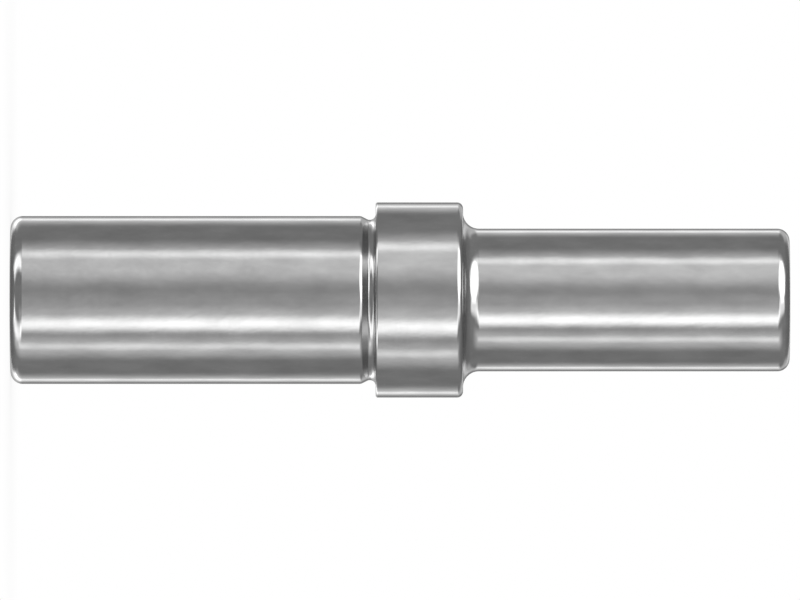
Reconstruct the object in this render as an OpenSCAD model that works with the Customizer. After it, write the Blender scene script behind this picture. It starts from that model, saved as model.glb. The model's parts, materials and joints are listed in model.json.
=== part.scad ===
// Water pump shaft: one turned and ground bar of steel, in millimetres.
// It stands on the flat end of its large journal, with the axis along Z.
// From the foot up it has the large journal, a relief groove, the collar and the small journal.

/* [Large journal] */
// Diameter of the large journal, the seat of a rolling bearing
large_d = 20; // [16:0.05:22]
// Length of the large journal, from its end face to the collar
large_len = 43.5; // [10:0.1:150]
// Radius of the rounded edge at the large end
large_end_r = 1.45; // [0.2:0.05:3]

/* [Collar] */
// Diameter of the collar
collar_d = 23.25; // [22.5:0.05:32]
// Width of the collar along the shaft
collar_w = 10.4; // [3:0.1:40]
// Radius of the collar's edge beside the relief groove
collar_groove_edge_r = 0.25; // [0.05:0.05:1.2]
// Radius of the collar's edge on the small journal's side
collar_small_edge_r = 0.7; // [0.1:0.05:1.1]

/* [Small journal] */
// Diameter of the small journal
small_d = 17; // [12:0.05:18]
// Length of the small journal, from the collar to its end face
small_len = 38.9; // [10:0.1:150]
// Radius of the rounded edge at the small end
small_end_r = 1.45; // [0.2:0.05:3]
// Radius of the fillet between the small journal and the collar
shoulder_fillet_r = 1.9; // [0.3:0.05:2.3]

/* [Relief groove] */
// Depth of the groove below the large journal
groove_depth = 0.45; // [0.25:0.05:1]
// Nose radius of the tool that turned the groove
groove_nose_r = 0.7; // [0.3:0.05:1.4]
// Angle at which the groove runs out to the large journal, from the axis
groove_runout_deg = 27; // [15:1:42]
// Radius that eases the edge between the run-out and the large journal
groove_edge_r = 0.8; // [0.2:0.1:1.8]

/* [Centre holes] */
// Diameter of the pilot hole in each end
centre_pilot_d = 2.5; // [1.6:0.1:4]
// Diameter of the cone's mouth at the end face
centre_mouth_d = 5.3; // [4.2:0.1:8]
// Included angle of the cone that the lathe centre ran in
centre_cone_deg = 60; // [50:5:90]
// Length of the pilot hole's straight wall, from the cone to the drill point
centre_pilot_len = 2.2; // [1:0.1:6]
// Included angle of the drill point at the pilot hole's bottom
centre_point_deg = 120; // [90:2:140]

/* [Hidden] */
$fn = 128;

large_r = large_d / 2;
small_r = small_d / 2;
collar_r = collar_d / 2;

// Heights above the foot of the collar's two faces and of the small end
collar_foot_z = large_len;
collar_head_z = collar_foot_z + collar_w;
total_len = collar_head_z + small_len;

// How far a cut or a joined corner laps over its neighbour
lap = 0.05;
// How far an arc stands over the straight that it blends into, so that the two always meet
nip = 0.00002;

// The groove's points are taken from the corner of its floor and the collar's face:
// x away from the shaft's axis, y up the shaft.
groove_corner = [large_r - groove_depth, collar_foot_z];
// The tool's nose touches the floor and the collar's face
nose_centre = [groove_nose_r, -groove_nose_r];
// Directions square to the run-out and along it, towards the large end
runout_square = [cos(groove_runout_deg), sin(groove_runout_deg)];
runout_along = [sin(groove_runout_deg), -cos(groove_runout_deg)];
// Where the nose's arc turns into the run-out, and where that meets the journal
runout_foot = nose_centre - (groove_nose_r - nip) * runout_square;
runout_edge = runout_foot + runout_along * (groove_depth - runout_foot.x) / runout_along.x;
// The eased edge is an arc that touches the journal and the run-out
ease_centre = [
    groove_depth - groove_edge_r,
    runout_edge.y - groove_edge_r * tan(groove_runout_deg / 2)
];
ease_on_runout = ease_centre + (groove_edge_r - nip) * runout_square;
// How far out the cutting shape reaches, past the journal and the nose's centre
groove_reach = max(groove_depth, groove_nose_r) + lap;

// Depths of a centre hole's cone, pilot wall and drill point below the end face
centre_cone_z = (centre_mouth_d - centre_pilot_d) / 2 / tan(centre_cone_deg / 2);
centre_wall_z = centre_cone_z + centre_pilot_len;
centre_tip_z = centre_wall_z + centre_pilot_d / 2 / tan(centre_point_deg / 2);

// The outlines below are half sections: x is the distance from the axis, y the height above the foot.

// A corner closed by an arc. Cut away, it rounds an outside edge, and joined on,
// it fills an inside edge with a fillet. side points from the corner to the arc's centre.
module corner_arc(corner, r, side) {
    difference() {
        translate(corner + side * (r - lap) / 2)
            square(r + lap, center = true);
        translate(corner + side * r)
            circle(r);
    }
}

// The air in the relief groove, with its eased edge
module groove_air() {
    translate(groove_corner) {
        difference() {
            polygon([
                ease_centre,
                [groove_reach, ease_centre.y],
                [groove_reach, lap],
                [0, lap],
                [0, nose_centre.y],
                runout_foot,
                ease_on_runout
            ]);
            translate(ease_centre)
                circle(groove_edge_r);
        }
        translate(nose_centre)
            circle(groove_nose_r);
    }
}

module large_journal_outline() {
    difference() {
        square([large_r, collar_foot_z + lap]);
        groove_air();
        corner_arc([large_r, 0], large_end_r, [-1, 1]);
    }
}

module collar_outline() {
    difference() {
        translate([0, collar_foot_z])
            square([collar_r, collar_w]);
        corner_arc([collar_r, collar_foot_z], collar_groove_edge_r, [-1, 1]);
        corner_arc([collar_r, collar_head_z], collar_small_edge_r, [-1, -1]);
    }
    corner_arc(groove_corner, groove_nose_r, [1, -1]);
}

module small_journal_outline() {
    difference() {
        translate([0, collar_head_z - lap])
            square([small_r, small_len + lap]);
        corner_arc([small_r, total_len], small_end_r, [-1, -1]);
    }
    corner_arc([small_r, collar_head_z], shoulder_fillet_r, [1, 1]);
}

// A lathe centre's hole, with its mouth at y = 0 and its point upwards
module centre_hole_outline() {
    polygon([
        [0, -lap],
        [centre_mouth_d / 2, -lap],
        [centre_mouth_d / 2, 0],
        [centre_pilot_d / 2, centre_cone_z],
        [centre_pilot_d / 2, centre_wall_z],
        [0, centre_tip_z]
    ]);
}

module shaft() {
    color([0.66, 0.66, 0.66])
        rotate_extrude()
            difference() {
                union() {
                    large_journal_outline();
                    collar_outline();
                    small_journal_outline();
                }
                centre_hole_outline();
                translate([0, total_len])
                    mirror([0, 1])
                        centre_hole_outline();
            }
}

shaft();
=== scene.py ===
import bpy
import json
import math
from mathutils import Matrix, Vector


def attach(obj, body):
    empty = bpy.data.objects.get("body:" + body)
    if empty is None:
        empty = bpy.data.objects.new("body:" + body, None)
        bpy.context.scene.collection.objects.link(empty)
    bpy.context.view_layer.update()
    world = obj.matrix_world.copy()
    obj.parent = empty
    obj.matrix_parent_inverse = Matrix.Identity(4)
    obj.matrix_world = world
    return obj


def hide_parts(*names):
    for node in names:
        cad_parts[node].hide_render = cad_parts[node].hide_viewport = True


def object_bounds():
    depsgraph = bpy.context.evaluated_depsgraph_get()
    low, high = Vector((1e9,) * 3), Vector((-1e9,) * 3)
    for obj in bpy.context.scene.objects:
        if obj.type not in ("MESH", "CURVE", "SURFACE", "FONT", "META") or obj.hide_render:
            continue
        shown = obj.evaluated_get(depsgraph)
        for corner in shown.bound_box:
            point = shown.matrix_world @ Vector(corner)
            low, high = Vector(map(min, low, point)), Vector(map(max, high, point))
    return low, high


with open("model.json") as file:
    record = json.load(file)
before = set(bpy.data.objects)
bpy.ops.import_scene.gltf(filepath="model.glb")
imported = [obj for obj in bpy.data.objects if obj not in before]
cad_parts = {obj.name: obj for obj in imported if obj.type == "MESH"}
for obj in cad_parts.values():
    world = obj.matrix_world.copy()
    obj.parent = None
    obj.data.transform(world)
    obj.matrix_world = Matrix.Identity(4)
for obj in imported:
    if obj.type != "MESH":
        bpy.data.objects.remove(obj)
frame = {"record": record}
cad_low, cad_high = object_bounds()

# The shaft
# One bar of steel, turned between centres and then ground on its journals and its collar.
# Nothing is fixed to it, and it stands on the flat end of its large journal.

MM = 0.001
places = {m["name"]: m for m in frame["record"]["mounts"]}
large_r = places["large_journal"]["dims"]["r_mm"] * MM
small_r = places["small_journal"]["dims"]["r_mm"] * MM
collar_r = cad_high.x
collar_foot_z = places["bearing_shoulder"]["pos_m"][2]
collar_head_z = places["hub_shoulder"]["pos_m"][2]
top_z = cad_high.z

end_round = 1.45 * MM
fillet = 1.9 * MM
collar_groove_round = 0.25 * MM
collar_small_round = 0.7 * MM
groove_depth = 0.45 * MM
groove_nose = 0.7 * MM
groove_edge_round = 0.8 * MM
groove_runout = math.radians(27)
pilot_r = 1.25 * MM
mouth_r = 2.65 * MM
pilot_length = 2.2 * MM
cone_half_angle = math.radians(30)
point_half_angle = math.radians(60)

steps_round = 256     # facets round the shaft
steps_quarter = 14    # facets in a quarter turn of an edge
steps_least = 4       # facets in the smallest arc
lead = 0.03 * MM      # the short first and last stretch of a straight, which keeps its shading true
touching = 0.0001 * MM
crease = math.radians(30)   # edges that turn further than this stay sharp in the shading

cone_depth = (mouth_r - pilot_r) / math.tan(cone_half_angle)
wall_depth = cone_depth + pilot_length
tip_depth = wall_depth + pilot_r / math.tan(point_half_angle)

# The groove: its floor's radius, the nose's centre, and the centre of its eased edge
floor_r = large_r - groove_depth
nose_r = floor_r + groove_nose
nose_z = collar_foot_z - groove_nose
foot_r = nose_r - groove_nose * math.cos(groove_runout)
foot_z = nose_z - groove_nose * math.sin(groove_runout)
meet_z = foot_z - (large_r - foot_r) / math.tan(groove_runout)
ease_z = meet_z - groove_edge_round * math.tan(groove_runout / 2)
ease_r = large_r - groove_edge_round

# The half section is drawn from the lower centre hole's tip to the upper one's, and is then spun round
bpy.ops.object.select_all(action="DESELECT")
bpy.ops.mesh.primitive_plane_add(size=MM, location=(0, 0, tip_depth))
shaft = bpy.context.object
shaft.name = "pump_shaft"
bpy.ops.object.transform_apply(location=True)
bpy.ops.object.mode_set(mode="EDIT")
bpy.ops.mesh.merge(type="CENTER")
pen = Vector((0, 0, tip_depth))
quarter = math.radians(90)


def draw_to(r, z):
    """Carries the half section on in a straight line to that radius and height."""
    end = Vector((r, 0, z))
    way = end - pen
    short = min(lead, way.length / 4) * way.normalized()
    for step in (short, way - 2 * short, short):
        bpy.ops.mesh.extrude_vertices_move(TRANSFORM_OT_translate={"value": step})
    pen.xyz = end


def draw_arc(r, z, turn):
    """Carries it on round a centre at that radius and height; a positive turn is anticlockwise."""
    steps = max(steps_least, round(steps_quarter * abs(turn) / quarter))
    centre = Vector((r, 0, z))
    bpy.ops.mesh.spin(steps=steps, angle=turn, center=centre, axis=(0, 1, 0))
    pen.xyz = centre + Matrix.Rotation(-turn, 3, "Y") @ (pen - centre)


draw_to(pilot_r, wall_depth)
draw_to(pilot_r, cone_depth)
draw_to(mouth_r, 0)
draw_to(large_r - end_round, 0)
draw_arc(large_r - end_round, end_round, quarter)
draw_to(large_r, ease_z)
draw_arc(ease_r, ease_z, groove_runout)
draw_to(foot_r, foot_z)
draw_arc(nose_r, nose_z, -quarter - groove_runout)
draw_to(collar_r - collar_groove_round, collar_foot_z)
draw_arc(collar_r - collar_groove_round, collar_foot_z + collar_groove_round, quarter)
draw_to(collar_r, collar_head_z - collar_small_round)
draw_arc(collar_r - collar_small_round, collar_head_z - collar_small_round, quarter)
draw_to(small_r + fillet, collar_head_z)
draw_arc(small_r + fillet, collar_head_z + fillet, -quarter)
draw_to(small_r, top_z - end_round)
draw_arc(small_r - end_round, top_z - end_round, quarter)
draw_to(mouth_r, top_z)
draw_to(pilot_r, top_z - cone_depth)
draw_to(pilot_r, top_z - wall_depth)
draw_to(0, top_z - tip_depth)
bpy.ops.mesh.select_all(action="SELECT")
bpy.ops.mesh.spin(steps=steps_round, angle=4 * quarter, center=(0, 0, 0), axis=(0, 0, 1))
bpy.ops.mesh.select_all(action="SELECT")
bpy.ops.mesh.remove_doubles(threshold=touching)
bpy.ops.mesh.normals_make_consistent(inside=False)
bpy.ops.object.mode_set(mode="OBJECT")
bpy.ops.object.shade_smooth_by_angle(angle=crease)

# Ground steel: slight waves and stains, fine marks, and duller turned faces
grain_low, grain_high = 0.3, 0.7     # the middle of a grain's values
wave_size = 1.8 * MM
wave_depth = 0.015 * MM
stain_size = 2.2 * MM
stain_dark, stain_light = 0.595, 0.725
stretch = 0.45                       # both are drawn out along the shaft, the way it went past the wheel
cloud_detail = 3.5
mark_pitch = 0.35 * MM
mark_length = 12 * MM
mark_detail = 3
mark_smooth, mark_rough = 0.09, 0.12
ground_share = 0.06                  # how deep the ground sides' marks are, beside those on the turned faces
turned_depth = 0.0006 * MM
turned_loss = 0.35                   # how much less light the turned faces give back
turned_rough = 0.12                  # how much rougher they are
cut_from, cut_full = 0.97, 0.999     # how steep the surface is where their marks begin and where they are full
dull_from, dull_full = 0.5, 0.85     # the same for the duller finish

steel = bpy.data.materials.new("ground_steel")
steel.use_nodes = True
metal = steel.node_tree


def reckon(tree, operation, *values):
    """A sum in that node tree, on numbers or on other nodes' outputs."""
    node = tree.nodes.new("ShaderNodeMath")
    node.operation = operation
    for socket, value in zip(node.inputs, values):
        if isinstance(value, bpy.types.NodeSocket):
            tree.links.new(value, socket)
        else:
            socket.default_value = value
    return node.outputs[0]


def grain(vector, size, detail):
    """Soft random grain of about that size on the steel, from 0 to 1."""
    node = metal.nodes.new("ShaderNodeTexNoise")
    node.inputs["Scale"].default_value = 1 / size
    node.inputs["Detail"].default_value = detail
    metal.links.new(vector, node.inputs["Vector"])
    return node.outputs["Fac"]


def spread(value, low, high):
    """Stretches the middle of a grain's values to run from low to high."""
    node = metal.nodes.new("ShaderNodeMapRange")
    node.inputs["From Min"].default_value = grain_low
    node.inputs["From Max"].default_value = grain_high
    node.inputs["To Min"].default_value = low
    node.inputs["To Max"].default_value = high
    metal.links.new(value, node.inputs["Value"])
    return node.outputs["Result"]


def relief(height, depth, under=None):
    """Raises the surface by that height times that depth, on top of the relief under it."""
    node = metal.nodes.new("ShaderNodeBump")
    node.inputs["Distance"].default_value = depth
    metal.links.new(height, node.inputs["Height"])
    if under:
        metal.links.new(under, node.inputs["Normal"])
    return node.outputs["Normal"]


place = metal.nodes.new("ShaderNodeTexCoord").outputs["Object"]
apart = metal.nodes.new("ShaderNodeSeparateXYZ")
metal.links.new(place, apart.inputs["Vector"])
x, y, z = apart.outputs
x_squared = reckon(metal, "MULTIPLY", x, x)
y_squared = reckon(metal, "MULTIPLY", y, y)
radius = reckon(metal, "SQRT", reckon(metal, "ADD", x_squared, y_squared))


def point(x, y, z):
    """A place for a grain to be taken at."""
    node = metal.nodes.new("ShaderNodeCombineXYZ")
    for socket, value in zip(node.inputs, (x, y, z)):
        metal.links.new(value, socket)
    return node.outputs["Vector"]


drawn_out = point(x, y, reckon(metal, "MULTIPLY", z, stretch))
wave = grain(drawn_out, wave_size, cloud_detail)
stain = grain(drawn_out, stain_size, cloud_detail)

# The wheel's and the tool's marks run round the shaft: they change fast along its section and slowly round it
slowly = reckon(metal, "MULTIPLY", reckon(metal, "ADD", x, y), mark_pitch / mark_length)
marks = grain(point(radius, z, slowly), mark_pitch, mark_detail)

facing = metal.nodes.new("ShaderNodeSeparateXYZ")
metal.links.new(metal.nodes.new("ShaderNodeTexCoord").outputs["Normal"], facing.inputs["Vector"])
steep = reckon(metal, "ABSOLUTE", facing.outputs["Z"])


def where_steep(first, full, low):
    """A share that grows from low to 1 as the surface turns from the shaft's sides towards its ends."""
    node = metal.nodes.new("ShaderNodeMapRange")
    node.inputs["From Min"].default_value = first
    node.inputs["From Max"].default_value = full
    node.inputs["To Min"].default_value = low
    metal.links.new(steep, node.inputs["Value"])
    return node.outputs["Result"]


# The end faces, the steep part of the fillet and the groove's corner are as turned: duller and a little darker
cut = reckon(metal, "MULTIPLY", marks, where_steep(cut_from, cut_full, ground_share))
dull = where_steep(dull_from, dull_full, 0)
given_back = reckon(metal, "MULTIPLY_ADD", dull, -turned_loss, 1)

bsdf = metal.nodes["Principled BSDF"]
bsdf.inputs["Metallic"].default_value = 1
tint = metal.nodes.new("ShaderNodeCombineColor")
grey = reckon(metal, "MULTIPLY", spread(stain, stain_dark, stain_light), given_back)
for channel in tint.inputs:
    metal.links.new(grey, channel)
metal.links.new(tint.outputs["Color"], bsdf.inputs["Base Color"])
matted = reckon(metal, "MULTIPLY_ADD", dull, turned_rough, spread(marks, mark_smooth, mark_rough))
metal.links.new(matted, bsdf.inputs["Roughness"])
metal.links.new(relief(cut, turned_depth, relief(wave, wave_depth)), bsdf.inputs["Normal"])
shaft.data.materials.append(steel)

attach(shaft, "root")
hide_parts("shaft")

# The camera
# It looks level at the middle of the standing shaft, turned on its side as the photograph shows it.

view_width = 95.32 * MM
view_middle_z = 46.396 * MM
view_distance = 3.0
view_reach = 20

bpy.ops.object.camera_add()
camera = bpy.context.object
camera.matrix_world = (
    Matrix.Translation((0, -view_distance, view_middle_z))
    @ Matrix.Rotation(quarter, 4, "X")
    @ Matrix.Rotation(quarter, 4, "Z")
)
camera.data.lens = camera.data.sensor_width * view_distance / view_width
camera.data.clip_end = view_reach
bpy.context.scene.camera = camera

# The floor
# A pale round table top, which fades into the white backdrop and keeps the shaft's soft shadow.

table_r = 0.4
table_facets = 96
table_colour = (0.9, 0.9, 0.9, 1)
table_glow = 0.8      # how much of it is plain white under the shaft, to the camera
table_fade_r = 0.08   # and how far out it is all white

bpy.ops.object.select_all(action="DESELECT")
bpy.ops.mesh.primitive_circle_add(vertices=table_facets, radius=table_r, fill_type="NGON")
table = bpy.context.object
table.name = "table_top"
table.visible_glossy = False

paint = bpy.data.materials.new("pale_table")
paint.use_nodes = True
coat = paint.node_tree
coat.nodes.clear()
matt = coat.nodes.new("ShaderNodeBsdfDiffuse")
matt.inputs["Color"].default_value = table_colour
glow = coat.nodes.new("ShaderNodeEmission")
blend = coat.nodes.new("ShaderNodeMixShader")
seen = coat.nodes.new("ShaderNodeLightPath").outputs["Is Camera Ray"]
from_middle = coat.nodes.new("ShaderNodeVectorMath")
from_middle.operation = "LENGTH"
coat.links.new(coat.nodes.new("ShaderNodeTexCoord").outputs["Object"], from_middle.inputs[0])
fade = coat.nodes.new("ShaderNodeMapRange")
fade.interpolation_type = "SMOOTHSTEP"
fade.inputs["From Max"].default_value = table_fade_r
fade.inputs["To Min"].default_value = table_glow
coat.links.new(from_middle.outputs["Value"], fade.inputs["Value"])
coat.links.new(reckon(coat, "MULTIPLY", seen, fade.outputs["Result"]), blend.inputs["Fac"])
coat.links.new(matt.outputs["BSDF"], blend.inputs[1])
coat.links.new(glow.outputs["Emission"], blend.inputs[2])
coat.links.new(blend.outputs["Shader"], coat.nodes.new("ShaderNodeOutputMaterial").inputs["Surface"])
table.data.materials.append(paint)

# The studio
# White behind the shaft and plain soft light from all round. The steel mirrors grey walls, soft boxes, and
# the same white backdrop, which all stand so far off that every part of the shaft mirrors the same.

wall_level = 0.232
backdrop_colour = (1, 1, 1, 1)

studio = bpy.data.worlds.new("studio")
bpy.context.scene.world = studio
studio.use_nodes = True
studio.cycles.sampling_method = "NONE"
room = studio.node_tree
gaze = room.nodes.new("ShaderNodeSeparateXYZ")
room.links.new(room.nodes.new("ShaderNodeTexCoord").outputs["Generated"], gaze.inputs["Vector"])
to_side = reckon(room, "MULTIPLY", gaze.outputs["X"], -1)
to_camera = reckon(room, "MULTIPLY", gaze.outputs["Y"], -1)

# A turn is counted round the shaft from the camera, and a rise up from the horizon, both in degrees
turn_seen = reckon(room, "DEGREES", reckon(room, "ARCTAN2", to_side, to_camera))
rise_seen = reckon(room, "DEGREES", reckon(room, "ARCSINE", gaze.outputs["Z"]))
narrowing = reckon(room, "COSINE", reckon(room, "ARCSINE", gaze.outputs["Z"]))


def turn_from(seen, middle):
    """How far a turn is from the middle of a box, the short way round."""
    return reckon(room, "WRAP", reckon(room, "SUBTRACT", seen, middle), 180, -180)


def soft_edge(off, half, soft):
    """1 within half of a box's middle line, falling softly to 0 over the next stretch."""
    node = room.nodes.new("ShaderNodeMapRange")
    node.interpolation_type = "SMOOTHSTEP"
    node.inputs["From Min"].default_value = half + soft
    node.inputs["From Max"].default_value = half
    room.links.new(reckon(room, "ABSOLUTE", off), node.inputs["Value"])
    return node.outputs["Result"]


def soft_box(light, turn, rise, strength, lean=0, width=narrowing):
    """Adds one soft box to what the steel mirrors.

    Its turn and its rise are each its middle, half its width, and the width of its soft edge. Its middle's turn
    grows by the lean for each degree of rise. With a width of 1 it spans the same turns at every rise.
    """
    turn_middle, turn_half, turn_soft = turn
    rise_middle, rise_half, rise_soft = rise
    leant = reckon(room, "MULTIPLY_ADD", rise_seen, -lean, turn_seen)
    across = soft_edge(reckon(room, "MULTIPLY", turn_from(leant, turn_middle), width), turn_half, turn_soft)
    upright = soft_edge(reckon(room, "SUBTRACT", rise_seen, rise_middle), rise_half, rise_soft)
    return reckon(room, "MULTIPLY_ADD", reckon(room, "MULTIPLY", across, upright), strength, light)


def oval(turn, rise, soft):
    """1 inside an oval, given by its middle and its reach, falling softly to 0 over that share of it."""
    across = reckon(room, "MULTIPLY", turn_from(turn_seen, turn[0]), 1 / turn[1])
    upright = reckon(room, "MULTIPLY", reckon(room, "SUBTRACT", rise_seen, rise[0]), 1 / rise[1])
    squares = reckon(room, "MULTIPLY_ADD", across, across, reckon(room, "MULTIPLY", upright, upright))
    return soft_edge(reckon(room, "SQRT", squares), 1, soft)


def round_box(light, turn, rise, soft, strength):
    """Adds one oval soft box to what the steel mirrors."""
    return reckon(room, "MULTIPLY_ADD", oval(turn, rise, soft), strength, light)


def flag(light, turn, rise, soft, share):
    """Sets a grey oval before the backdrop, which takes away that share of what the steel mirrors there."""
    kept = reckon(room, "MULTIPLY_ADD", oval(turn, rise, soft), -share, 1)
    return reckon(room, "MULTIPLY", light, kept)


light = wall_level

# The bright band below the middle of the straight sides, and the faint light that spreads up from it
light = soft_box(light, turn=(-33.6, 0, 16), rise=(0, 8, 10), strength=1.03, lean=0.7)
light = soft_box(light, turn=(-23.5, 4, 16), rise=(0, 20, 14), strength=0.18)
light = soft_box(light, turn=(-15.5, 12, 30), rise=(1, 1, 4), strength=0.22)

# The dimmer band above the middle, with a brighter strip along its upper edge
light = soft_box(light, turn=(52, 9, 34), rise=(1, 1, 4), strength=0.53)
light = soft_box(light, turn=(66.3, 0, 10), rise=(0, 40, 20), strength=0.46)

# The narrow band low down
light = soft_box(light, turn=(-67, 0, 8.5), rise=(-8, 10, 14), strength=0.4)
light = soft_box(light, turn=(-68, 4, 22.5), rise=(-20, 25, 40), strength=0.38)

# The lit backdrop behind the shaft, with a strip at either side, a bright foot and a dim head
light = soft_box(light, turn=(181, 31, 30), rise=(-10, 12, 8), strength=0.57)
light = soft_box(light, turn=(146.2, 0, 6.5), rise=(-10, 12, 8), strength=0.5)
light = soft_box(light, turn=(-143.3, 0, 6.5), rise=(-10, 12, 8), strength=0.46)
light = soft_box(light, turn=(181, 30, 10), rise=(-17, 9, 7), strength=0.8)
light = soft_box(light, turn=(177, 30, 14), rise=(18, 9, 8), strength=0.32)

# The grey flag before its middle, and the box over the flag
light = flag(light, turn=(181.5, 19), rise=(-4, 15), soft=0.7, share=0.68)
light = soft_box(light, turn=(181, 10, 14), rise=(24, 6, 6), strength=0.45)

# The large boxes above, which the fillet and the small end's rounded edge mirror
light = soft_box(light, turn=(41, 16, 31), rise=(35.5, 28.5, 3), strength=0.75, width=1)
light = round_box(light, turn=(36, 35), rise=(36, 29), soft=0.12, strength=0.75)
light = soft_box(light, turn=(9, 9, 10), rise=(39, 13, 9), strength=0.8, width=1)
light = soft_box(light, turn=(-13, 4, 20), rise=(36, 20, 12), strength=0.85, width=1)

# The leaning strips below, which the large end's rounded edge mirrors, and a low one between their feet
light = soft_box(light, turn=(49, 3, 14), rise=(-36, 30, 3), strength=1.25, lean=-0.35)
light = soft_box(light, turn=(-42, 4, 14), rise=(-41, 30, 8), strength=0.95, lean=0.2)
light = soft_box(light, turn=(-25, 6, 10), rise=(-70, 2, 5), strength=0.65)

# Only the steel's mirrored rays see them: to the camera and to the table the world is plain white
path = room.nodes.new("ShaderNodeLightPath")
mirrored = reckon(room, "MAXIMUM", path.outputs["Is Glossy Ray"], path.outputs["Is Transmission Ray"])
plain = reckon(room, "SUBTRACT", 1, mirrored)
backdrop = room.nodes["Background"]
backdrop.inputs["Color"].default_value = backdrop_colour
room.links.new(reckon(room, "MULTIPLY_ADD", mirrored, light, plain), backdrop.inputs["Strength"])

# The finished scene
# Its colours are shown as they are.

bpy.context.scene.view_settings.view_transform = "Standard"
